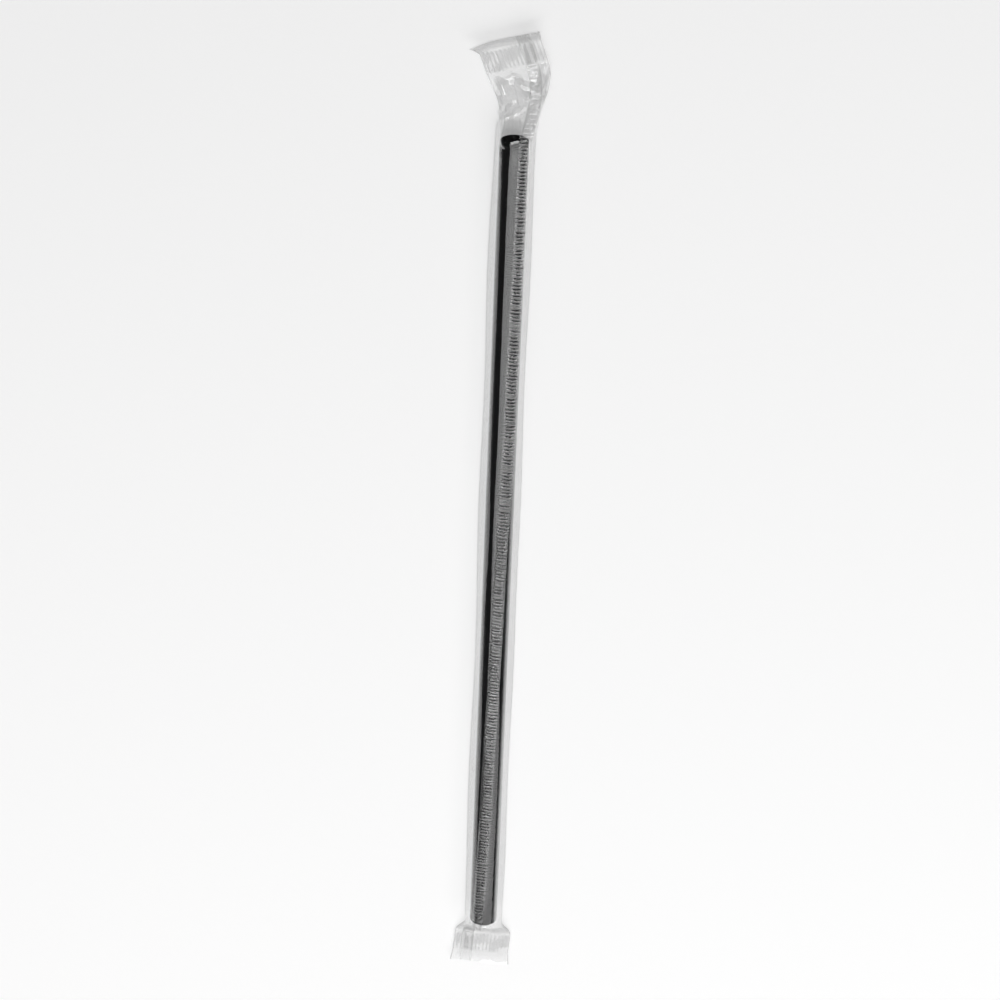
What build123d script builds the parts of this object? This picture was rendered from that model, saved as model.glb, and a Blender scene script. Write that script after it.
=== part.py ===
from build123d import *
import math
import os

# The straw: an extruded polypropylene tube, cut square at both ends.
STRAW_DIAMETER = 6.0
STRAW_WALL = 0.2
STRAW_LENGTH = 197.0

# The wrapper: one web of clear film, closed into a sleeve around the straw. It lies with its
# underside flat, and its upper side hangs over the straw like a tent.
FILM = 0.1
SLACK = 0.1
UNDERSIDE_WIDTH = 8.8
CROWN_FACETS = 4

# Each end of the sleeve: the play beyond the straw, the run in which the film flattens, the gap
# left between its layers and how far before the crimp they meet, the depth of the crimped seal,
# and the plain margin from the seal to the cut edge.
STRAW_END_PLAY = 0.4
TOP_RUN = 15.5
BOTTOM_RUN = 6.0
SEAL_PARTING = 0.02
SEAL_LAP = 0.5
SEAL_DEPTH = 5.0
CUT_MARGIN = 2.8

# How far each end stands off the surface below it, and how it tilts, turns aside and curls.
TOP_RISE = 1.6
TOP_TILT = 8.0
TOP_TURN = 18.0
TOP_CURL = 16.0
BOTTOM_RISE = 0.5
BOTTOM_TILT = 4.0
BOTTOM_TURN = -4.0
BOTTOM_CURL = 6.0

# The crimp of every seal: a zigzag of ribs that run across the seal.
RIB_PITCH = 0.82
RIB_HEIGHT = 0.2

# The fin seal along the sleeve: both edges of the web pressed together and folded down to the -Y
# side. Its root winds round the straw's top line, between these angles at the straw's two ends.
FIN_WIDTH = 2.6
FIN_LIFT = 0.1
FIN_TOP_ANGLE = -32.0
FIN_BOTTOM_ANGLE = 58.0

straw_radius = STRAW_DIAMETER / 2
film_radius = straw_radius + SLACK + FILM
straw_height = film_radius
seal_thickness = 2 * FILM
seal_height = RIB_HEIGHT + seal_thickness
side_slope = 2 * math.atan(2 * film_radius / UNDERSIDE_WIDTH)
crown_half = side_slope * film_radius
flat_half = (UNDERSIDE_WIDTH + crown_half) / 2
sleeve_half = STRAW_LENGTH / 2 + STRAW_END_PLAY
crown_shares = [2 * i / CROWN_FACETS - 1 for i in range(CROWN_FACETS + 1)]


def end_plane(side, run, rise, tilt, turn):
    """The plane where a seal begins: its X runs across the seal, Y up through it and Z along +X."""
    along = Vector(1, 0, 0).rotate(Axis.Y, -side * tilt).rotate(Axis.Z, turn)
    across = Vector(0, 1, 0).rotate(Axis.Z, turn)
    return Plane(origin=(side * (sleeve_half + run), 0, rise), x_dir=across, z_dir=along)


top_end = end_plane(1, TOP_RUN, TOP_RISE, TOP_TILT, TOP_TURN)
bottom_end = end_plane(-1, BOTTOM_RUN, BOTTOM_RISE, BOTTOM_TILT, BOTTOM_TURN)


def crown_point(station, share, radius):
    """A point of the arc over the straw, from share -1 on the -Y side to 1 on the +Y side."""
    turn = share * side_slope
    return Vector(station, radius * math.sin(turn), straw_height + radius * math.cos(turn))


def tent_section(station, inset):
    """The sleeve's outline around the straw, inset from the film's outer face."""
    radius = film_radius - inset
    corner = radius / math.tan(side_slope / 2)
    right, left = Vector(station, -corner, inset), Vector(station, corner, inset)
    crown = [crown_point(station, share, radius) for share in crown_shares]
    middles = [crown_point(station, share + 1 / CROWN_FACETS, radius) for share in crown_shares[:-1]]
    arcs = [ThreePointArc(a, m, b) for a, m, b in zip(crown, middles, crown[1:])]
    return Wire([Line(left, right), Line(right, crown[0]), *arcs, Line(crown[-1], left)])


def flat_section(plane, inset, thickness):
    """The same outline where both layers meet at a seal, with the crown drawn out flat."""
    low = (seal_height - thickness) / 2
    half = flat_half - inset
    right, left = (plane.from_local_coords((end, low, 0)) for end in (-half, half))
    crown_reach = half - thickness / 2
    crown = [plane.from_local_coords((share * crown_reach, low + thickness, 0)) for share in crown_shares]
    return Wire.make_polygon([left, right, *crown])


def film_body(inset, thickness, lap):
    """The sleeve and its runs out to both seals, filled, ending a lap before the crimps."""
    sections = [
        flat_section(bottom_end.offset(lap), inset + lap, thickness),
        tent_section(-sleeve_half, inset),
        tent_section(sleeve_half, inset),
        flat_section(top_end.offset(-lap), inset + lap, thickness),
    ]
    return Solid.make_loft(sections, ruled=True)


def zigzag(count, step):
    """The points of a zigzag: how far along each is, and whether it is a crest."""
    return [(i * step / 2, i % 2) for i in range(2 * count + 1)]


def end_seal(plane, side, curl):
    """The crimped seal at one end, and the plain margin out to the cut edge, lapped on each other."""
    ribs = round(2 * flat_half / RIB_PITCH)
    under = [(along - flat_half, RIB_HEIGHT * crest) for along, crest in zigzag(ribs, 2 * flat_half / ribs)]
    over = [(x, y + seal_thickness) for x, y in reversed(under)]
    crimp = make_face(Polyline(*under, *over, close=True))
    margin = Rectangle(2 * flat_half, seal_thickness)
    root = plane.offset(-side * FILM)
    hinge = plane * Pos(0, seal_height / 2, side * (SEAL_DEPTH - seal_thickness)) * Rot(-side * curl, 0, 0)
    crimped = extrude(root * crimp, side * (SEAL_DEPTH + FILM))
    return crimped + extrude(hinge * margin, side * (CUT_MARGIN + seal_thickness))


def fin_point(station, reach, height):
    """A point of the fin, by its reach from the fin's root and its height over the film there."""
    plane, run = (top_end, TOP_RUN) if station > 0 else (bottom_end, BOTTOM_RUN)
    flattened = max(abs(station) - sleeve_half, 0) / run
    gone = (station + sleeve_half) / (2 * sleeve_half)
    turn = math.radians(FIN_BOTTOM_ANGLE + (FIN_TOP_ANGLE - FIN_BOTTOM_ANGLE) * gone)
    nearest = max(-sleeve_half, min(sleeve_half, station))
    draped = crown_point(nearest, turn / side_slope, film_radius)
    flat = plane.from_local_coords((turn / side_slope * flat_half, (seal_height + seal_thickness) / 2, 0))
    root = draped + (flat - draped) * flattened
    round_straw = Vector(0, -math.cos(turn), math.sin(turn)) * crown_half * (1 - flattened)
    aside = (round_straw - plane.x_dir * flat_half * flattened).normalized()
    over = Vector(0, math.sin(turn), math.cos(turn)) * (1 - flattened) + plane.y_dir * flattened
    return root + aside * reach + (over - aside * over.dot(aside)).normalized() * height


def fin_section(station, crest):
    """The fin's outline at one crest or valley of its ribs, with its root sunk into the film."""
    rib = RIB_HEIGHT * crest
    outline = [
        (0, -FILM / 2),
        (FIN_WIDTH, FIN_LIFT + rib),
        (FIN_WIDTH, FIN_LIFT + rib + seal_thickness),
        (0, rib + seal_thickness - FILM / 2),
    ]
    return Wire.make_polygon([fin_point(station, reach, height) for reach, height in outline])


def fin_seal():
    """The ribbed fin, lofted through each crest and valley, ending a lap before the crimps."""
    start = SEAL_LAP - sleeve_half - BOTTOM_RUN
    length = sleeve_half + TOP_RUN - SEAL_LAP - start
    ribs = round(length / RIB_PITCH)
    sections = [fin_section(start + along, crest) for along, crest in zigzag(ribs, length / ribs)]
    return Solid.make_loft(sections, ruled=True)


def make_straw():
    ring = Circle(straw_radius) - Circle(straw_radius - STRAW_WALL)
    middle = Plane(origin=(0, 0, straw_height), x_dir=(0, 1, 0), z_dir=(1, 0, 0))
    return extrude(middle * ring, STRAW_LENGTH / 2, both=True)


def make_wrapper():
    sleeve = film_body(0, seal_thickness, 0) - film_body(FILM, SEAL_PARTING, SEAL_LAP)
    seals = end_seal(top_end, 1, TOP_CURL) + end_seal(bottom_end, -1, BOTTOM_CURL)
    return sleeve + seals + fin_seal()


os.makedirs("parts", exist_ok=True)
export_step(make_straw(), "parts/straw.step")
export_step(make_wrapper(), "parts/wrapper.step")
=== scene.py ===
import math

import bpy
import numpy as np
from bpy.props import FloatProperty, FloatVectorProperty, IntProperty, PointerProperty
from mathutils import Matrix, Vector


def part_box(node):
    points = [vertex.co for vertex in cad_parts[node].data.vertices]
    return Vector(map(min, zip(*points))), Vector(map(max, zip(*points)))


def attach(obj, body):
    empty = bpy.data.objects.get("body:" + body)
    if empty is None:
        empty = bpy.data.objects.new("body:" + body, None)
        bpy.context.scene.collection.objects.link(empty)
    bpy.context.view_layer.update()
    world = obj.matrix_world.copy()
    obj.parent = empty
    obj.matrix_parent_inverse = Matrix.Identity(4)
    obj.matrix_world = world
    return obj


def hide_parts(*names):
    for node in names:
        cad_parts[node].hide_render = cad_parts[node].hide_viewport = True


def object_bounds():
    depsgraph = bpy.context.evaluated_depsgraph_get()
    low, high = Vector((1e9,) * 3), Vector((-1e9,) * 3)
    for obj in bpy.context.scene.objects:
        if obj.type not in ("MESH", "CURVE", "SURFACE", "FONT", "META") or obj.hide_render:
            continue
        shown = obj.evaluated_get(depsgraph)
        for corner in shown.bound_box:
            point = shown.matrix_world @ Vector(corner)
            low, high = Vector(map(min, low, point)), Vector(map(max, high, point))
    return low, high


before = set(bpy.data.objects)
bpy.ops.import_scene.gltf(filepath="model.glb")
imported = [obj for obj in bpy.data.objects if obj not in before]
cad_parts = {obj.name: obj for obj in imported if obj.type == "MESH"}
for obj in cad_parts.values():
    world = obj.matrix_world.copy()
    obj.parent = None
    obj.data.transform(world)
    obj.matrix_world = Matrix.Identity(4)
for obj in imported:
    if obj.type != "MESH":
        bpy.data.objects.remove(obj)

bl_info = {
    "name": "Wrapped Drinking Straw",
    "version": (1, 0, 0),
    "blender": (4, 5, 0),
    "location": "View3D > Sidebar > Wrapped Straw",
    "description": "A black drinking straw in its clear film wrapper, and a stage to see it on",
    "category": "Add Mesh",
}

MM = 0.001
CAD_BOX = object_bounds()
STRAW_LOW, STRAW_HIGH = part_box("straw")
STRAW_AXIS = (STRAW_LOW.z + STRAW_HIGH.z) / 2


def linear(code):
    """An sRGB hex colour as linear red, green and blue."""
    parts = [int(code[i:i + 2], 16) / 255 for i in (1, 3, 5)]
    return tuple(c / 12.92 if c <= 0.04045 else ((c + 0.055) / 1.055) ** 2.4 for c in parts)


WHITE = (*linear("#FFFFFF"), 1)


class StrawSettings(bpy.types.PropertyGroup):
    diameter: FloatProperty(
        name="Diameter", description="Outside diameter of the tube",
        default=STRAW_HIGH.z - STRAW_LOW.z, unit="LENGTH")
    wall: FloatProperty(
        name="Wall", description="Thickness of the tube's wall", default=0.2 * MM, unit="LENGTH")
    rim: FloatProperty(
        name="Rim rounding", description="How far each cut rim is rounded over",
        default=0.05 * MM, unit="LENGTH")
    sides: IntProperty(name="Sides", description="Facets round the tube", default=96)
    rings: IntProperty(name="Rings", description="Cuts along the tube", default=24)
    colour: FloatVectorProperty(
        name="Colour", description="Colour of the black polypropylene",
        default=linear("#131214"), subtype="COLOR", size=3)


class FilmSettings(bpy.types.PropertyGroup):
    thickness: FloatProperty(
        name="Thickness", description="Thickness of the film", default=0.03 * MM, unit="LENGTH")
    slack: FloatProperty(
        name="Slack", description="Gap between the straw and the film where it is nearest",
        default=0.1 * MM, unit="LENGTH")
    underside: FloatProperty(
        name="Underside", description="Width of the film that lies flat under the straw",
        default=8.8 * MM, unit="LENGTH")
    end_play: FloatProperty(
        name="End play", description="Sleeve beyond each end of the straw",
        default=0.4 * MM, unit="LENGTH")
    top_run: FloatProperty(
        name="Top run", description="Length in which the film goes flat at the open top end",
        default=15.5 * MM, unit="LENGTH")
    bottom_run: FloatProperty(
        name="Bottom run", description="Length in which the film goes flat at the other end",
        default=6 * MM, unit="LENGTH")
    seal_depth: FloatProperty(
        name="Seal depth", description="Depth of the crimped seal at each end",
        default=5 * MM, unit="LENGTH")
    margin: FloatProperty(
        name="Margin", description="Plain film from each seal to the cut edge",
        default=2.8 * MM, unit="LENGTH")
    rib_pitch: FloatProperty(
        name="Rib pitch", description="Distance between the ribs of every seal",
        default=0.82 * MM, unit="LENGTH")
    rib_height: FloatProperty(
        name="Rib height", description="Height of the ribs from valley to crest",
        default=0.2 * MM, unit="LENGTH")
    fin_width: FloatProperty(
        name="Fin width", description="Width of the seal that runs along the sleeve",
        default=2.6 * MM, unit="LENGTH")
    colour: FloatVectorProperty(
        name="Colour", description="What one face of the film lets through",
        default=linear("#F9F9F9"), subtype="COLOR", size=3)


class StageSettings(bpy.types.PropertyGroup):
    elevation: FloatProperty(
        name="Elevation", description="Height of the view over the floor, from beyond the top end",
        default=math.radians(57), subtype="ANGLE")
    lean: FloatProperty(
        name="Lean", description="How far the straw leans in the picture",
        default=math.radians(2.3), subtype="ANGLE")
    distance: FloatProperty(
        name="Distance", description="From the camera to the middle of the object",
        default=0.9, unit="LENGTH")
    fill: FloatProperty(
        name="Fill", description="Share of the picture's height that the object takes",
        default=0.94, subtype="FACTOR")
    floor_colour: FloatVectorProperty(
        name="Floor", description="Colour of the floor", default=linear("#DEDEDE"),
        subtype="COLOR", size=3)


# The film's form, in millimetres. A station is a place along the straw, from its middle. At a station
# the web is a loop: over the straw it is stretched flat between the lines where it touches, it comes
# down to the floor like a tent, and its underside lies on the floor. Beyond the straw it goes flat, into
# a crimped seal and a plain margin.

# The height of the film's middle over the floor, the gap between its layers, the height of a seal with
# its ribs, and the share of the way down each side of the tent at which the film folds at the ends.
FLOOR_GAP = 0.06
LAYER_GAP = 0.05
SEAL_HEIGHT = 0.4
FOLD_SHARE = 0.54

# The loop's parts between its corners, from the right fold over the straw, down, and back under it: the
# columns in each part, and how many of the parts are above the folds.
LOOP_COLUMNS = (20, 15, 14, 12, 19, 14, 51, 15)
UPPER_PARTS = 5
# How often the loop's corners are rounded, and how often more on its upper side.
CORNER_ROUNDING = 2
OVER_ROUNDING = 16

# Stations between which the sleeve is plain, and the steps between rows below, between and above them.
PLAIN_STRETCH = (-88, 84)
ROW_STEPS = (0.4, 1.6, 0.31)

# Angles round the straw's top line where the film touches it, at the bottom end and at the top end, and
# how far these lines and the tent's feet wander, as degrees and as a share of the feet's reach.
RIGHT_TOUCH = (-14, -43)
MIDDLE_TOUCH = (15, -6)
LEFT_TOUCH = (46, 38)
TOUCH_SWAY = 3
FOOT_SWAY = 0.07

# Both ends: how far each stands off the floor, the angles by which it tilts up, turns aside and curls at
# the cut edge, and how far its right and left corners flare.
TOP_END = {"rise": 1.6, "tilt": 8, "turn": 18, "curl": 16, "flare": (0.5, 1.5)}
BOTTOM_END = {"rise": 0.5, "tilt": 4, "turn": -4, "curl": 6, "flare": (0.4, 0.4)}
# The length in which the crimp's ribs run out, and in the margin, the height of its waves, the gap that
# opens between its layers, and how far a flared corner lifts for each millimetre that it flares.
CRIMP_RUN_OUT = 0.4
MARGIN_WAVE = 0.28
MARGIN_GAP = 0.16
FLARE_LIFT = 0.6

# The fin seal at the bottom end and at the top end: the angle of its root, how far it springs away from
# the film there, and the radius in which it bends over to its free edge. It winds faster lower down, and
# its root and its spring wander by these angles.
FIN_ROOT = (50, -18)
FIN_WINDING = 0.75
FIN_SPRING = (-12, 10)
FIN_BEND = (5, 12)
ROOT_SWAY = 2
SPRING_SWAY = 3
FIN_COLUMNS = 9

# The fin's ribs: their slant in degrees, the rows of the mesh in each, how fast a groove between two of
# them gets shallower beside its middle, for each rib pitch, and how high the crests stand. More ribs are
# drawn by lot than the fin has: how strongly each is pressed, where it starts and stops over the fin's
# width, and how far it lifts the free edge. Lower down they are pressed a little harder.
RIB_SLANT = 8
ROWS_A_RIB = 14
GROOVE_FALL = 3.3
CREST_SHARE = 0.6
RIB_DRAWS = 400
RIB_STRENGTHS = (0.2, 0.42, 0.5, 0.6)
RIB_ODDS = (0.12, 0.28, 0.4, 0.2)
RIB_GAIN = (1.15, 1)
RIB_STARTS = (0, 0.2)
RIB_STOPS = (2.1, 2.6)
RIB_FADE = 0.3
FREE_EDGE_LIFT = 0.16
# The width in which the ribs begin at the fin's root, and that in which their print on the web ends.
ROOT_FADE = 0.5
PRINT_FADE = 0.4

# Folds of crumpled film: heading from across the sleeve, distance between creases, and depth.
FOLDS = ((24, 7.4, 0.40), (-38, 5.3, 0.30), (78, 6.1, 0.26), (8, 3.3, 0.12), (-62, 2.7, 0.09))
# Creases of the top end: station and place across at both ends, height and half width.
TOP_CREASES = (
    (98.5, -2.8, 113.0, -5.0, 0.45, 1.2),
    (99.0, 2.6, 112.5, 4.4, 0.40, 1.0),
    (102.0, -0.4, 110.5, 1.8, -0.45, 1.4),
    (103.5, 5.2, 106.5, -1.2, 0.35, 0.8),
    (107.0, -5.6, 111.0, 0.6, 0.35, 0.9),
    (101.5, -4.6, 105.0, 0.2, 0.30, 0.7),
)
# The length beyond the straw in which the film becomes free to stand in as well as out.
FREEING_RUN = 3
# How far the film's direction turns where a crease starts to cloud, and how much further when it is full.
CREASE_START = 0.3
CREASE_SPAN = 0.9

# Angles in degrees beyond which an edge of the film or of the straw stays sharp, and a rim is rounded.
FILM_SHARP = 17
STRAW_SHARP = 50
RIM_SHARP = 60

# The stage: the floor's size in metres, the light from all round, how many faces of film a ray may pass,
# and the soft lamps, each with its place, its back's direction, its sizes and its power in watts.
FLOOR_SIZE = 8
WORLD_STRENGTH = 0.03
FILM_PASSES = 32
LAMPS = (
    ("key", (-0.575, -0.25, 0.8), (0, 0, 1), (0.85, 1.6), 7.5),
    ("strip", (-0.08, -0.1, 0.85), (0, 0, 1), (0.12, 0.7), 1.6),
    ("back_fill", (1.6, 0.8, 0.9), (1.6, 0.8, 0.9), (0.8, 0.8), 2),
)


def add_node(tree, kind, inputs=None, **settings):
    """Adds a node with its settings, and sets each input to a value or links it to a socket."""
    made = tree.nodes.new(kind)
    for name, value in settings.items():
        setattr(made, name, value)
    for name, value in (inputs or {}).items():
        if isinstance(value, bpy.types.NodeSocket):
            tree.links.new(value, made.inputs[name])
        else:
            made.inputs[name].default_value = value
    return made


def new_material(name):
    """An empty material, and its node tree."""
    made = bpy.data.materials.new(name)
    made.use_nodes = True
    made.node_tree.nodes.clear()
    return made, made.node_tree


def black_polypropylene(colour):
    """Polypropylene, extruded: black through and through, with a half gloss that the die drew out in
    fine lines along the tube."""
    made, tree = new_material("black_polypropylene")
    # Real die lines are too fine to show, so they are drawn this coarse.
    line_width, line_length, line_depth = 0.16 * MM, 14 * MM, 0.02 * MM
    place = add_node(tree, "ShaderNodeTexCoord").outputs["Object"]
    drawn = add_node(tree, "ShaderNodeMapping", {
        "Vector": place, "Scale": (1 / line_length, 1 / line_width, 1 / line_width)}).outputs["Vector"]
    lines = add_node(tree, "ShaderNodeTexNoise", {
        "Vector": drawn, "Scale": 1.0, "Detail": 2.0, "Roughness": 0.5}).outputs["Fac"]
    gloss = add_node(tree, "ShaderNodeMapRange", {
        "Value": lines, "From Min": 0.3, "From Max": 0.7, "To Min": 0.17, "To Max": 0.25}).outputs["Result"]
    relief = add_node(tree, "ShaderNodeBump", {
        "Height": lines, "Strength": 0.12, "Distance": line_depth}).outputs["Normal"]
    shader = add_node(tree, "ShaderNodeBsdfPrincipled", {
        "Base Color": (*colour, 1), "Roughness": gloss, "IOR": 1.49, "Normal": relief})
    add_node(tree, "ShaderNodeOutputMaterial", {"Surface": shader.outputs["BSDF"]})
    return made


def clear_film(colour):
    """Cast polypropylene film: clear, glossy on both faces, and clouded where it is creased."""
    made, tree = new_material("cast_film")
    ripple_size, ripple_depth, groove_depth = 1.3 * MM, 0.02 * MM, 0.11 * MM
    cloud_size, crease_cloud = 4 * MM, 0.06
    ior, grazing_power = 1.5, 5.0
    head_on = ((ior - 1) / (ior + 1)) ** 2
    place = add_node(tree, "ShaderNodeTexCoord").outputs["Object"]
    ripples = add_node(tree, "ShaderNodeTexNoise", {
        "Vector": place, "Scale": 1 / ripple_size, "Detail": 1.0}).outputs["Fac"]
    # The print of the fin's ribs on the web under it, with the grooves of groove().
    ribs = add_node(tree, "ShaderNodeAttribute", attribute_name="ribs").outputs["Fac"]
    pressed = add_node(tree, "ShaderNodeAttribute", attribute_name="pressed").outputs["Fac"]
    turned = add_node(tree, "ShaderNodeMath", {0: ribs, 1: 0.5}, operation="PINGPONG").outputs[0]
    grooves = add_node(tree, "ShaderNodeMath", {
        0: turned, 1: -GROOVE_FALL, 2: 1.0}, operation="MULTIPLY_ADD", use_clamp=True).outputs[0]
    depth = add_node(tree, "ShaderNodeMath", {0: grooves, 1: pressed}, operation="MULTIPLY").outputs[0]
    embossed = add_node(tree, "ShaderNodeBump", {
        "Height": depth, "Strength": 1.0, "Distance": groove_depth}, invert=True).outputs["Normal"]
    relief = add_node(tree, "ShaderNodeBump", {
        "Height": ripples, "Strength": 0.5, "Distance": ripple_depth, "Normal": embossed}).outputs["Normal"]
    # A face mirrors little head on, and all at a grazing angle.
    facing = add_node(tree, "ShaderNodeLayerWeight", {"Blend": 0.5, "Normal": relief}).outputs["Facing"]
    grazing = add_node(tree, "ShaderNodeMath", {0: facing, 1: grazing_power}, operation="POWER").outputs[0]
    mirrored = add_node(tree, "ShaderNodeMath", {
        0: grazing, 1: 1 - head_on, 2: head_on}, operation="MULTIPLY_ADD").outputs[0]
    clouds = add_node(tree, "ShaderNodeTexNoise", {
        "Vector": place, "Scale": 1 / cloud_size, "Detail": 3.0}).outputs["Fac"]
    haze = add_node(tree, "ShaderNodeMapRange", {
        "Value": clouds, "From Min": 0.35, "From Max": 0.7,
        "To Min": 0.001, "To Max": 0.004}).outputs["Result"]
    crease = add_node(tree, "ShaderNodeAttribute", attribute_name="crease").outputs["Fac"]
    clouded = add_node(tree, "ShaderNodeMath", {
        0: crease, 1: crease_cloud, 2: haze}, operation="MULTIPLY_ADD").outputs[0]
    clear = add_node(tree, "ShaderNodeBsdfTransparent", {"Color": (*colour, 1)}).outputs["BSDF"]
    cloud = add_node(tree, "ShaderNodeBsdfDiffuse", {"Color": (*linear("#F3F3F3"), 1)}).outputs["BSDF"]
    gloss = add_node(tree, "ShaderNodeBsdfGlossy", {
        "Color": WHITE, "Roughness": 0.06, "Normal": relief}).outputs["BSDF"]
    body = add_node(tree, "ShaderNodeMixShader", {0: clouded, 1: clear, 2: cloud}).outputs["Shader"]
    film = add_node(tree, "ShaderNodeMixShader", {0: mirrored, 1: body, 2: gloss}).outputs["Shader"]
    add_node(tree, "ShaderNodeOutputMaterial", {"Surface": film})
    return made


def pale_floor(colour):
    """Matt painted board, pale enough to meet a white backdrop, with the object's shadow on it. Its glow
    is only seen, also through the film and in its gloss, and doesn't light the object."""
    made, tree = new_material("pale_floor")
    strength = 0.47
    path = add_node(tree, "ShaderNodeLightPath").outputs
    seen = add_node(tree, "ShaderNodeMath", {
        0: path["Is Camera Ray"], 1: path["Is Glossy Ray"]}, operation="MAXIMUM").outputs[0]
    seen = add_node(tree, "ShaderNodeMath", {
        0: seen, 1: path["Is Transmission Ray"]}, operation="MAXIMUM").outputs[0]
    glow = add_node(tree, "ShaderNodeMath", {0: seen, 1: strength}, operation="MULTIPLY").outputs[0]
    board = add_node(tree, "ShaderNodeBsdfDiffuse", {"Color": (*colour, 1)}).outputs["BSDF"]
    white = add_node(tree, "ShaderNodeEmission", {"Color": WHITE, "Strength": glow}).outputs["Emission"]
    both = add_node(tree, "ShaderNodeAddShader", {0: board, 1: white}).outputs["Shader"]
    add_node(tree, "ShaderNodeOutputMaterial", {"Surface": both})
    return made


def wander(along, size, seed):
    """A smooth value about 0, mostly within 1, that swells over about this length."""
    draw = np.random.default_rng(seed)
    waves = [np.sin(along * math.tau / size / draw.uniform(0.6, 1.7) + draw.uniform(0, math.tau))
             for _ in range(4)]
    return sum(waves) / 2


def swells(across, along, size, seed):
    """The same over a surface."""
    draw = np.random.default_rng(seed)
    total = 0
    for _ in range(6):
        heading, phase = draw.uniform(0, math.tau), draw.uniform(0, math.tau)
        scale = draw.uniform(0.6, 1.6)
        line = across * math.cos(heading) + along * math.sin(heading)
        total = total + np.sin(line * math.tau / (size * scale) + phase)
    return total / 2.5


def smooth(share):
    """The share eased in and out, held between 0 and 1."""
    share = np.clip(share, 0, 1)
    return share * share * (3 - 2 * share)


def between(ends, share):
    """The value at this share of the way from the first end to the second."""
    return ends[0] + (ends[1] - ends[0]) * share


def folded(turns):
    """A zigzag between -1 and 1, one fold to a turn."""
    return 4 * np.abs(turns - np.floor(turns + 0.5)) - 1


def groove(turns):
    """How deep a row of ribs is pressed, from 0 on the flat crests to 1 in the grooves between them."""
    return np.clip(1 - GROOVE_FALL * np.abs(turns - np.round(turns)), 0, 1)


def ridge(across, stations, crease):
    """One straight crease, highest along its line and falling off evenly to both sides."""
    start, start_across, end, end_across, height, half_width = crease
    way = np.array((end - start, end_across - start_across))
    gone = ((stations - start) * way[0] + (across - start_across) * way[1]) / way.dot(way)
    held = np.clip(gone, 0, 1)
    apart = np.hypot(stations - start - held * way[0], across - start_across - held * way[1])
    return height * np.clip(1 - apart / half_width, 0, 1)


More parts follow.
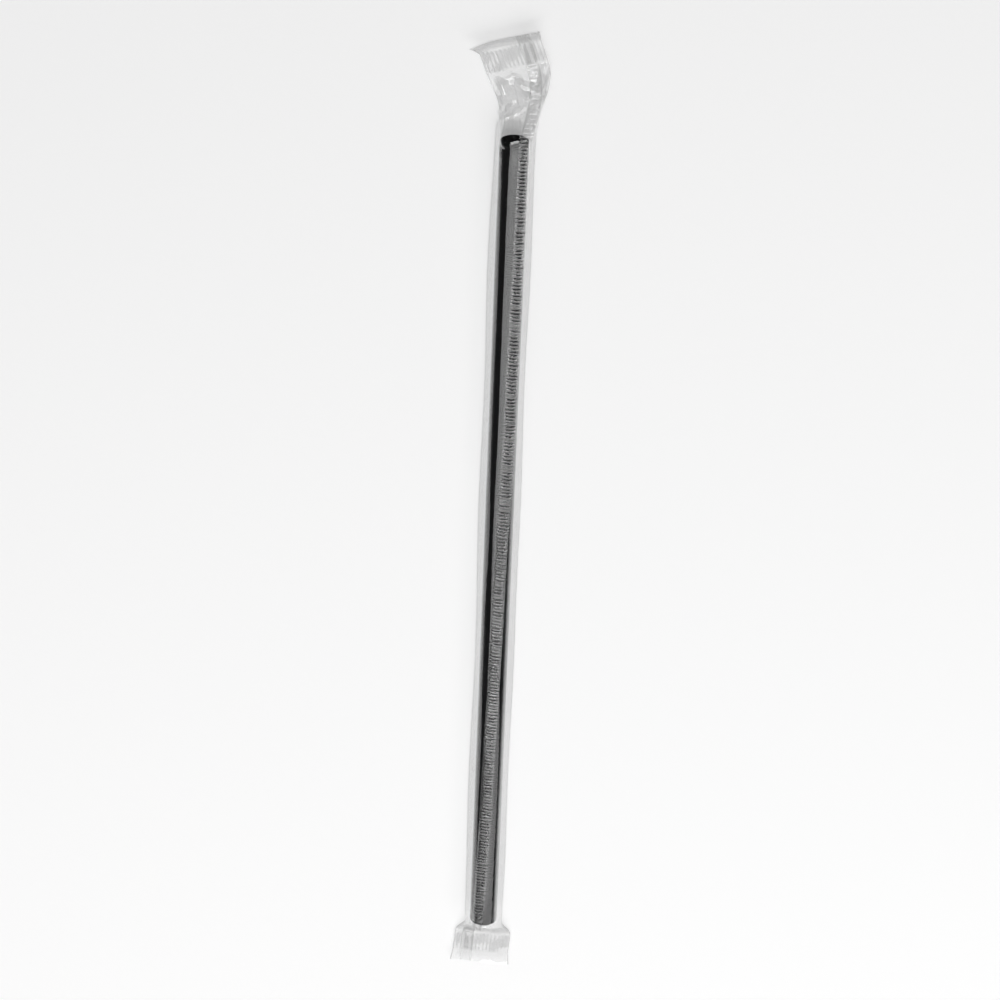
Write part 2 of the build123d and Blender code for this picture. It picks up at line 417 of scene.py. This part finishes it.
class Wrapper:
    """The sizes that every piece of film shares, and the two ends."""

    def __init__(self, straw, film):
        self.contact = (straw.diameter / 2 + film.slack) / MM
        self.axis = STRAW_AXIS / MM
        self.reach = film.underside / 2 / MM
        self.sleeve_half = (STRAW_HIGH.x + film.end_play) / MM
        self.seal_depth = film.seal_depth / MM
        self.margin = film.margin / MM
        self.pitch = film.rib_pitch / MM
        self.rib = film.rib_height / MM
        self.fin_width = film.fin_width / MM
        self.side_slope = 2 * math.atan(self.contact / self.reach)
        self.flat_half = self.reach + self.side_slope * self.contact / 2
        self.top = End(self, 1, film.top_run / MM, **TOP_END)
        self.bottom = End(self, -1, film.bottom_run / MM, **BOTTOM_END)
        self.top_cut = self.sleeve_half + self.top.run + self.seal_depth + self.margin
        self.bottom_cut = -self.sleeve_half - self.bottom.run - self.seal_depth - self.margin

    def share(self, stations):
        """0 at the straw's bottom end and 1 at its top end."""
        return np.clip(stations / self.sleeve_half, -1, 1) / 2 + 0.5

    def touch_angles(self, stations):
        """The angles at which the film touches the straw, from the right flank to the left one."""
        share = self.share(stations)
        right = self.reach * (1 + FOOT_SWAY * wander(stations, size=70, seed=1))
        left = self.reach * (1 + FOOT_SWAY * wander(stations, size=80, seed=2))
        angles = [-2 * np.arctan(self.contact / right)]
        for number, touch in enumerate((RIGHT_TOUCH, MIDDLE_TOUCH, LEFT_TOUCH)):
            sway = TOUCH_SWAY * wander(stations, size=60, seed=10 + number)
            angles.append(np.radians(between(touch, share) + sway))
        angles.append(2 * np.arctan(self.contact / left))
        return angles, right, left

    def loop_keys(self, stations):
        """The corners of the loop at each station, as y and z, from the right fold over the top."""
        angles, right, left = self.touch_angles(stations)
        corners = []
        for a, b in zip(angles, angles[1:]):
            middle, out = (a + b) / 2, self.contact / np.cos((b - a) / 2)
            corners.append(np.stack([out * np.sin(middle), self.axis + out * np.cos(middle)], -1))
        right_foot = np.stack([-right, np.full_like(right, FLOOR_GAP)], -1)
        left_foot = np.stack([left, np.full_like(left, FLOOR_GAP)], -1)
        right_fold = between((corners[0], right_foot), FOLD_SHARE)
        left_fold = between((corners[-1], left_foot), FOLD_SHARE)
        return [right_fold, *corners, left_fold, left_foot, right_foot]

    def fin_root(self, stations):
        """The angle at which the fin seal stands on the film."""
        wound = between(FIN_ROOT, self.share(stations) ** FIN_WINDING)
        return np.radians(wound + ROOT_SWAY * wander(stations, size=55, seed=51))

    def fin_ribs(self, stations, reach):
        """The ribs of the fin seal, counted along it: they slant a little over its width."""
        return (stations + reach * math.tan(math.radians(RIB_SLANT))) / self.pitch

    def film_radius(self, stations, angle):
        """How far the film over the straw is from the straw's axis."""
        angles, _, _ = self.touch_angles(stations)
        return self.contact / np.max([np.cos(angle - touch) for touch in angles], axis=0)

    def end_of(self, stations, pick):
        """A value of the end that each station is nearer to."""
        return np.where(stations > 0, pick(self.top), pick(self.bottom))

    def flattened(self, stations):
        """0 around the straw and 1 where the film is flat."""
        return smooth((np.abs(stations) - self.sleeve_half) / self.end_of(stations, lambda end: end.run))

    def pressed(self, stations, across, layer):
        """Points of the flat film: the crimp, the margin, and its plane drawn on towards the straw."""
        out = np.abs(stations) - self.sleeve_half
        top, bottom = (end.pressed(self, out - end.run, across, layer) for end in (self.top, self.bottom))
        return np.where((stations > 0)[..., None], top, bottom)

    def crumple(self, across, stations, seed):
        """How far crumpled film stands in or out: most beyond the straw, and not at all in the seals."""
        top, bottom = self.sleeve_half + self.top.run, -self.sleeve_half - self.bottom.run
        amounts = (
            (bottom, 0), (bottom + 2, 0.5), (bottom + 6, 0.4), (-92, 0.08), (-82, 0.03),
            (84, 0.03), (94, 0.07), (99, 0.5), (104, 1.0), (top - 2.5, 0.7), (top, 0))
        amount = np.interp(stations, *zip(*amounts))
        drift = swells(across, stations, size=11, seed=seed)
        height = 0
        for number, (heading, spacing, depth) in enumerate(FOLDS):
            turn = math.radians(heading)
            line = across * math.sin(turn) + stations * math.cos(turn)
            patch = 0.5 + 0.7 * swells(across, stations, size=9, seed=seed + 7 * number + 1)
            fold = folded(line / spacing + 0.3 * drift + 0.37 * number)
            height = height + depth * np.clip(patch, 0, 1.2) * fold
        return height * amount * (1 - np.clip(across / self.flat_half, -1, 1) ** 4)

    def upper_height(self, across, stations):
        """How far the upper side of the film stands out, and only out where the straw is under it."""
        height = self.crumple(across, stations, seed=100)
        height = height + sum(ridge(across, stations, crease) for crease in TOP_CREASES)
        freed = smooth((np.abs(stations) - self.sleeve_half) / FREEING_RUN)
        return between((np.abs(height), height), freed)


class End:
    """One end of the web: where its seal begins, and the directions out, across and up there."""

    def __init__(self, wrapper, side, run, rise, tilt, turn, curl, flare):
        self.side, self.run, self.curl, self.flare = side, run, math.radians(curl), flare
        tilt = math.radians(tilt)
        spin = Matrix.Rotation(math.radians(turn), 3, "Z")
        self.out = np.array(spin @ Vector((side * math.cos(tilt), 0, math.sin(tilt))))
        self.across = np.array(spin @ Vector((0, 1, 0)))
        self.up = side * np.cross(self.out, self.across)
        self.origin = np.array((side * (wrapper.sleeve_half + run), 0, rise)) + self.up * SEAL_HEIGHT / 2

    def pressed(self, wrapper, out, across, layer):
        """Points of the flat film, by how far out from the seal's start and across it they are."""
        half, depth = wrapper.flat_half, wrapper.seal_depth
        crimped = smooth(out / CRIMP_RUN_OUT) * smooth((depth - out) / CRIMP_RUN_OUT + 0.5)
        uneven = np.clip(0.9 + 0.3 * swells(across, out, size=4, seed=31 + self.side), 0.5, 1.2)
        ribs = round(2 * half / wrapper.pitch)
        rib = wrapper.rib / 2 * np.sin(math.pi * ribs * across / half) * crimped * uneven
        beyond = np.maximum(out - depth, 0)
        loose = beyond / wrapper.margin
        curl = self.curl * loose * (0.8 + 0.4 * swells(across, 0, size=14, seed=51 + self.side))
        wave = MARGIN_WAVE * loose * swells(across, 0, size=8, seed=41 + self.side)
        corner = np.clip(2 * np.abs(across) / half - 1, 0, 1) ** 2
        flare = loose * corner * np.where(across > 0, self.flare[1], self.flare[0])
        gap = layer * (LAYER_GAP / 2 + MARGIN_GAP * loose)
        height = rib + beyond * np.sin(curl) + wave + FLARE_LIFT * flare + gap
        wide = across + np.sign(across) * flare
        parts = ((wide, self.across), (height, self.up), (out - beyond * (1 - np.cos(curl)), self.out))
        return self.origin + sum(size[..., None] * way for size, way in parts)


def grid_normals(points):
    """The outward direction at each point of a grid that is closed round its second axis."""
    along = np.gradient(points, axis=0)
    around = np.roll(points, -1, axis=1) - np.roll(points, 1, axis=1)
    normals = np.cross(along, around)
    return normals / np.maximum(np.linalg.norm(normals, axis=-1, keepdims=True), 1e-9)


def rounded(loop, passes):
    """The loop with its corners rounded, more with each pass."""
    for _ in range(passes):
        loop = loop / 2 + np.roll(loop, 1, 1) / 4 + np.roll(loop, -1, 1) / 4
    return loop


def web_points(wrapper):
    """The grid of the web, from cut edge to cut edge, with its rows closest together at both ends."""
    plain_start, plain_end = PLAIN_STRETCH
    bottom_step, plain_step, top_step = ROW_STEPS
    stations = np.concatenate([
        np.arange(wrapper.bottom_cut, plain_start, bottom_step),
        np.arange(plain_start, plain_end, plain_step),
        np.arange(plain_end, wrapper.top_cut, top_step), [wrapper.top_cut]])
    keys = wrapper.loop_keys(stations)
    plain = [key.mean(0) for key in keys]
    lengths = [np.linalg.norm(b - a) for a, b in zip(plain, plain[1:] + plain[:1])]
    upper = np.cumsum([0, *lengths[:UPPER_PARTS]])
    lower = np.cumsum([0, *lengths[UPPER_PARTS:]])
    half = wrapper.flat_half
    flat_keys = [*(2 * half * upper / upper[-1] - half), *(half - 2 * half * lower / lower[-1])[1:]]
    loop, flat, layer = [], [], []
    for part, count in enumerate(LOOP_COLUMNS):
        for step in range(count):
            loop.append(between((keys[part], keys[(part + 1) % len(keys)]), step / count))
            flat.append(between(flat_keys[part:part + 2], step / count))
            layer.append(0 if step == 0 and part in (0, UPPER_PARTS) else 1 if part < UPPER_PARTS else -1)
    along, across, layer = np.broadcast_arrays(stations[:, None], np.array(flat), np.array(layer))
    loop = rounded(np.stack(loop, 1), CORNER_ROUNDING)
    loop = np.where(layer[..., None] > 0, rounded(loop, OVER_ROUNDING), loop)
    tent = np.concatenate([along[..., None], loop], -1)
    share = wrapper.flattened(along)[..., None]
    points = between((tent, wrapper.pressed(along, across, layer)), share)
    beyond_straw = np.abs(along) > wrapper.sleeve_half + 1
    under = np.where(beyond_straw, wrapper.crumple(across, along, seed=200), 0)
    height = np.where(layer > 0, wrapper.upper_height(across, along), under)
    points = points + grid_normals(points) * height[..., None]
    points[..., 2] = np.maximum(points[..., 2], FLOOR_GAP)
    return points


def fin_points(wrapper):
    """The grid of the fin seal: from its root it lies over the film to the right, ribbed across."""
    stations = np.arange(wrapper.bottom_cut, wrapper.top_cut, wrapper.pitch / ROWS_A_RIB)[:, None]
    stations, reach = np.broadcast_arrays(stations, np.linspace(0, wrapper.fin_width, FIN_COLUMNS))
    share = wrapper.share(stations)
    root = wrapper.fin_root(stations)
    held = np.clip(stations, -wrapper.sleeve_half, wrapper.sleeve_half)
    out = wrapper.film_radius(held, root) + 2 * LAYER_GAP
    spring = between(FIN_SPRING, share) + SPRING_SWAY * wander(stations, size=31, seed=63)
    start = root + np.radians(spring)
    bend = between(FIN_BEND, share)
    turn = start - reach / bend
    y = out * np.sin(root) + bend * (np.sin(turn) - np.sin(start))
    z = out * np.cos(root) + bend * (np.cos(turn) - np.cos(start))
    angle = np.arctan2(y, z)
    out = np.maximum(np.hypot(y, z), wrapper.film_radius(held, angle) + 2 * LAYER_GAP)
    draped = np.stack([stations, out * np.sin(angle), wrapper.axis + out * np.cos(angle)], -1)
    across = root / wrapper.side_slope * wrapper.flat_half - reach
    up = wrapper.end_of(stations[..., None], lambda end: end.up)
    flat = wrapper.pressed(stations, across, np.ones_like(across)) + up * LAYER_GAP
    flattened = wrapper.flattened(stations)
    over = between((np.stack([0 * y, np.sin(turn), np.cos(turn)], -1), up), flattened[..., None])
    ribs = wrapper.fin_ribs(stations, reach)
    number = np.round(ribs).astype(int) % RIB_DRAWS
    draw = np.random.default_rng(61)
    strength = draw.choice(RIB_STRENGTHS, RIB_DRAWS, p=RIB_ODDS)[number]
    strength = strength * between(RIB_GAIN, share)
    strength = strength * smooth((reach - draw.uniform(*RIB_STARTS, RIB_DRAWS)[number]) / RIB_FADE)
    strength = strength * smooth((draw.uniform(*RIB_STOPS, RIB_DRAWS)[number] - reach) / RIB_FADE)
    free_edge = draw.uniform(0, FREE_EDGE_LIFT, RIB_DRAWS)[number] * (reach / wrapper.fin_width) ** 4
    run = wrapper.end_of(stations, lambda end: end.run)
    crimped = smooth((np.abs(stations) - wrapper.sleeve_half - run) / CRIMP_RUN_OUT)
    rib = wrapper.rib * (CREST_SHARE - strength * groove(ribs)) * smooth(reach / ROOT_FADE) + free_edge
    height = rib * (1 - crimped) + wrapper.upper_height(across, stations) * flattened
    return between((draped, flat), flattened[..., None]) + over * height[..., None]


def embossing(wrapper, points):
    """The ribs that the fin seal presses into the film under it: their count, and how deep they are."""
    stations = points[..., 0]
    angle = np.arctan2(points[..., 1], points[..., 2] - wrapper.axis)
    reach = wrapper.contact * (wrapper.fin_root(stations) - angle)
    covered = smooth(reach / PRINT_FADE) * smooth((wrapper.fin_width - reach) / PRINT_FADE)
    return wrapper.fin_ribs(stations, reach), covered * (1 - wrapper.flattened(stations))


def creasing(points):
    """How sharply a grid of film is creased at each point, from 0 to 1."""
    normals = grid_normals(points)
    turned = [np.roll(normals, -1, axis) - np.roll(normals, 1, axis) for axis in (0, 1)]
    turns = sum(np.linalg.norm(turn, axis=-1) for turn in turned)
    return np.clip((turns - CREASE_START) / CREASE_SPAN, 0, 1)


def film_piece(name, points, closed, thickness, material, **embossed):
    """A sheet of film through a grid of points, with its thickness."""
    rows, columns = points.shape[:2]
    index = np.arange(rows * columns).reshape(rows, columns)
    if closed:
        index = np.concatenate([index, index[:, :1]], axis=1)
    quads = np.stack([index[:-1, :-1], index[:-1, 1:], index[1:, 1:], index[1:, :-1]], -1).reshape(-1, 4)
    mesh = bpy.data.meshes.new(name)
    mesh.from_pydata((points.reshape(-1, 3) * MM).tolist(), [], quads.tolist())
    for kind, values in {"crease": creasing(points), **embossed}.items():
        values = values.ravel().astype(np.float32)
        mesh.attributes.new(kind, "FLOAT", "POINT").data.foreach_set("value", values)
    mesh.materials.append(material)
    made = bpy.data.objects.new(name, mesh)
    bpy.context.scene.collection.objects.link(made)
    bpy.ops.object.select_all(action="DESELECT")
    made.select_set(True)
    bpy.context.view_layer.objects.active = made
    bpy.ops.object.mode_set(mode="EDIT")
    bpy.ops.mesh.select_all(action="SELECT")
    bpy.ops.mesh.normals_make_consistent(inside=False)
    bpy.ops.object.mode_set(mode="OBJECT")
    wall = made.modifiers.new("thickness", "SOLIDIFY")
    wall.thickness, wall.offset = thickness, 0
    bpy.ops.object.modifier_apply(modifier=wall.name)
    bpy.ops.object.shade_smooth_by_angle(angle=math.radians(FILM_SHARP))
    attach(made, "root")
    return made


class WRAPPED_STRAW_OT_straw(bpy.types.Operator):
    """Models the straw: a ring drawn out to a tube, given its wall and rounded rims"""
    bl_idname = "wrapped_straw.straw"
    bl_label = "Straw"

    def execute(self, context):
        size = context.scene.straw_tube
        length = STRAW_HIGH.x - STRAW_LOW.x
        bpy.ops.object.select_all(action="DESELECT")
        bpy.ops.mesh.primitive_circle_add(
            vertices=size.sides, radius=size.diameter / 2, location=(STRAW_LOW.x, 0, STRAW_AXIS),
            rotation=(0, math.pi / 2, 0))
        tube = context.object
        tube.name = tube.data.name = "straw_tube"
        bpy.ops.object.transform_apply(location=True, rotation=True, scale=True)
        bpy.ops.object.mode_set(mode="EDIT")
        bpy.ops.mesh.select_all(action="SELECT")
        for _ in range(size.rings):
            bpy.ops.mesh.extrude_region_move(
                TRANSFORM_OT_translate={"value": (length / size.rings, 0, 0)})
        bpy.ops.mesh.select_all(action="SELECT")
        bpy.ops.mesh.normals_make_consistent(inside=False)
        bpy.ops.object.mode_set(mode="OBJECT")
        wall = tube.modifiers.new("wall", "SOLIDIFY")
        wall.thickness, wall.offset = size.wall, -1
        rim = tube.modifiers.new("rim", "BEVEL")
        rim.width, rim.segments = size.rim, 2
        rim.limit_method, rim.angle_limit = "ANGLE", math.radians(RIM_SHARP)
        for modifier in (wall, rim):
            bpy.ops.object.modifier_apply(modifier=modifier.name)
        bpy.ops.object.shade_smooth_by_angle(angle=math.radians(STRAW_SHARP))
        tube.data.materials.append(black_polypropylene(tuple(size.colour)))
        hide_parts("straw")
        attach(tube, "root")
        return {"FINISHED"}


class WRAPPED_STRAW_OT_film(bpy.types.Operator):
    """Models the wrapper: the web of film with its crimped ends, and the fin seal along it"""
    bl_idname = "wrapped_straw.film"
    bl_label = "Film wrapper"

    def execute(self, context):
        film = context.scene.straw_film
        wrapper, material = Wrapper(context.scene.straw_tube, film), clear_film(tuple(film.colour))
        points = web_points(wrapper)
        ribs, pressed = embossing(wrapper, points)
        web = film_piece("film_web", points, True, film.thickness, material, ribs=ribs, pressed=pressed)
        fin = film_piece("fin_seal", fin_points(wrapper), False, 2 * film.thickness, material)
        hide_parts("wrapper")
        return {"FINISHED"}


class WRAPPED_STRAW_OT_stage(bpy.types.Operator):
    """Sets up the floor, the soft light and the camera"""
    bl_idname = "wrapped_straw.stage"
    bl_label = "Stage"

    def execute(self, context):
        stage = context.scene.straw_stage
        bpy.ops.mesh.primitive_plane_add(size=FLOOR_SIZE)
        floor = context.object
        floor.name = "floor"
        floor.data.materials.append(pale_floor(tuple(stage.floor_colour)))
        for name, place, back, sizes, power in LAMPS:
            bpy.ops.object.light_add(type="AREA", location=place)
            lamp = context.object
            lamp.name = name
            lamp.data.shape = "RECTANGLE"
            lamp.data.size, lamp.data.size_y, lamp.data.energy = *sizes, power
            lamp.rotation_euler = Vector(back).to_track_quat("Z", "Y").to_euler()
        world = bpy.data.worlds.new("studio")
        context.scene.world = world
        world.use_nodes = True
        world.node_tree.nodes["Background"].inputs["Color"].default_value = WHITE
        world.node_tree.nodes["Background"].inputs["Strength"].default_value = WORLD_STRENGTH
        self.camera(context, stage)
        context.scene.view_settings.view_transform = "Standard"
        context.scene.cycles.transparent_max_bounces = FILM_PASSES
        return {"FINISHED"}

    def camera(self, context, stage):
        """Aims where both ends of the object are then equally far from the picture's middle."""
        nearing, rising = math.cos(stage.elevation), math.sin(stage.elevation)
        back = Vector((nearing, 0, rising))
        along = Vector((rising, 0, -nearing))
        right = Vector((0, -1, 0))
        up = along * math.cos(stage.lean) - right * math.sin(stage.lean)
        side = up.cross(back)
        low, high = CAD_BOX
        length = high.x - low.x
        spare = (math.hypot(stage.distance, nearing * length) - stage.distance) / nearing
        ahead = (length - spare) / 2
        middle = Vector((high.x - ahead, 0, (low.z + high.z) / 2))
        bpy.ops.object.camera_add()
        camera = context.object
        camera.name = "camera"
        camera.matrix_world = Matrix((
            (side.x, up.x, back.x, 0), (side.y, up.y, back.y, 0), (side.z, up.z, back.z, 0), (0, 0, 0, 1)))
        camera.location = middle + back * stage.distance
        half_seen = ahead * rising / (stage.distance - ahead * nearing)
        camera.data.lens = camera.data.sensor_width / 2 * stage.fill / half_seen
        camera.data.clip_start = 0.01
        context.scene.camera = camera


class WRAPPED_STRAW_PT_panel(bpy.types.Panel):
    bl_idname = "WRAPPED_STRAW_PT_panel"
    bl_label = "Wrapped Straw"
    bl_space_type = "VIEW_3D"
    bl_region_type = "UI"
    bl_category = "Wrapped Straw"

    def draw(self, context):
        for settings in (context.scene.straw_tube, context.scene.straw_film, context.scene.straw_stage):
            box = self.layout.box()
            for name in settings.__annotations__:
                box.prop(settings, name)
        for step in STEPS:
            self.layout.operator(step.bl_idname)


STEPS = (WRAPPED_STRAW_OT_straw, WRAPPED_STRAW_OT_film, WRAPPED_STRAW_OT_stage)
CLASSES = (StrawSettings, FilmSettings, StageSettings, *STEPS, WRAPPED_STRAW_PT_panel)


def register():
    for made in CLASSES:
        bpy.utils.register_class(made)
    bpy.types.Scene.straw_tube = PointerProperty(type=StrawSettings)
    bpy.types.Scene.straw_film = PointerProperty(type=FilmSettings)
    bpy.types.Scene.straw_stage = PointerProperty(type=StageSettings)


def unregister():
    del bpy.types.Scene.straw_stage, bpy.types.Scene.straw_film, bpy.types.Scene.straw_tube
    for made in reversed(CLASSES):
        bpy.utils.unregister_class(made)


def main():
    register()
    bpy.ops.wrapped_straw.straw()
    bpy.ops.wrapped_straw.film()
    bpy.ops.wrapped_straw.stage()


if __name__ == "__main__":
    main()
